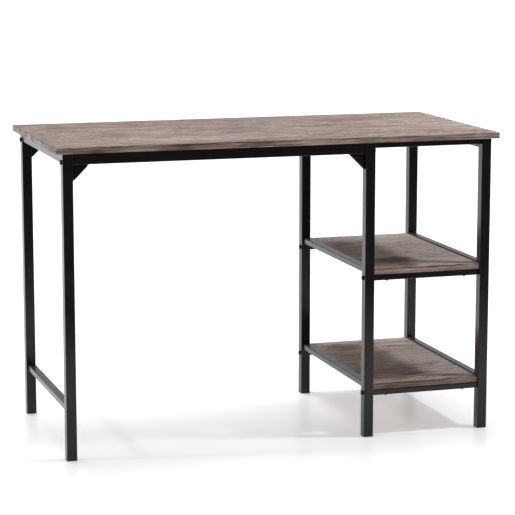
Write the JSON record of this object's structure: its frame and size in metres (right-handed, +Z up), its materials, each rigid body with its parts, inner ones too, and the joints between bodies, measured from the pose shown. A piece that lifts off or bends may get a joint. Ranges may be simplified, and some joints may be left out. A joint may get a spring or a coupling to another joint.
{
  "type": "writing desk",
  "caption": "Writing desk with a black square-tube steel frame, a wood-print top, an open knee space and an open side bay with two shelves.",
  "frame": {"origin": "on the floor, under the centre of the desktop", "axes": "+X along the width towards the shelf bay, -Y to the sitter at the front, +Z up"},
  "size_m": [1.13, 0.54, 0.76],
  "materials": {
    "wood_print": "satin wood-print laminate",
    "edge_band": "satin printed edging",
    "frame_powder_coat": "satin black powder coat",
    "foot_plastic": "matte",
    "bolt_black_steel": "black oxide",
    "end_block_steel": "plain",
    "screw_black_steel": "black oxide"
  },
  "bodies": {
    "root": {"desktop_board": "wood_print", "desktop_edge_band": "edge_band", "upper_shelf_board": "wood_print", "upper_shelf_front_edge": "edge_band", "upper_shelf_back_edge": "edge_band", "lower_shelf_board": "wood_print", "lower_shelf_front_edge": "edge_band", "lower_shelf_back_edge": "edge_band", "leg_left_front": "frame_powder_coat", "foot_cap_left_front": "foot_plastic", "leg_left_back": "frame_powder_coat", "foot_cap_left_back": "foot_plastic", "top_side_rail_left": "frame_powder_coat", "leg_middle_front": "frame_powder_coat", "foot_cap_middle_front": "foot_plastic", "leg_middle_back": "frame_powder_coat", "foot_cap_middle_back": "foot_plastic", "top_side_rail_middle": "frame_powder_coat", "leg_right_front": "frame_powder_coat", "foot_cap_right_front": "foot_plastic", "leg_right_back": "frame_powder_coat", "foot_cap_right_back": "foot_plastic", "top_side_rail_right": "frame_powder_coat", "lower_side_rail_left": "frame_powder_coat", "upper_shelf_side_rail_middle": "frame_powder_coat", "lower_shelf_side_rail_middle": "frame_powder_coat", "upper_shelf_side_rail_right": "frame_powder_coat", "lower_shelf_side_rail_right": "frame_powder_coat", "long_top_rail_front": "frame_powder_coat", "short_top_rail_front": "frame_powder_coat", "upper_shelf_rail_front": "frame_powder_coat", "lower_shelf_rail_front": "frame_powder_coat", "gusset_left_front": "frame_powder_coat", "gusset_middle_front": "frame_powder_coat", "long_top_rail_back": "frame_powder_coat", "short_top_rail_back": "frame_powder_coat", "upper_shelf_rail_back": "frame_powder_coat", "lower_shelf_rail_back": "frame_powder_coat", "gusset_left_back": "frame_powder_coat", "gusset_middle_back": "frame_powder_coat", "long_rail_bolts_left": "bolt_black_steel", "long_rail_bolts_middle": "bolt_black_steel", "short_rail_bolts_middle": "bolt_black_steel", "short_rail_bolts_right": "bolt_black_steel", "shelf_bolts_middle": "bolt_black_steel", "shelf_bolts_right": "bolt_black_steel", "long_rail_end_blocks": "end_block_steel", "short_rail_end_blocks": "end_block_steel", "shelf_rail_end_blocks": "end_block_steel", "desktop_screws_knee_space": "screw_black_steel", "desktop_screws_shelf_bay": "screw_black_steel", "upper_shelf_screws": "screw_black_steel", "lower_shelf_screws": "screw_black_steel"}
  },
  "joints": []
}
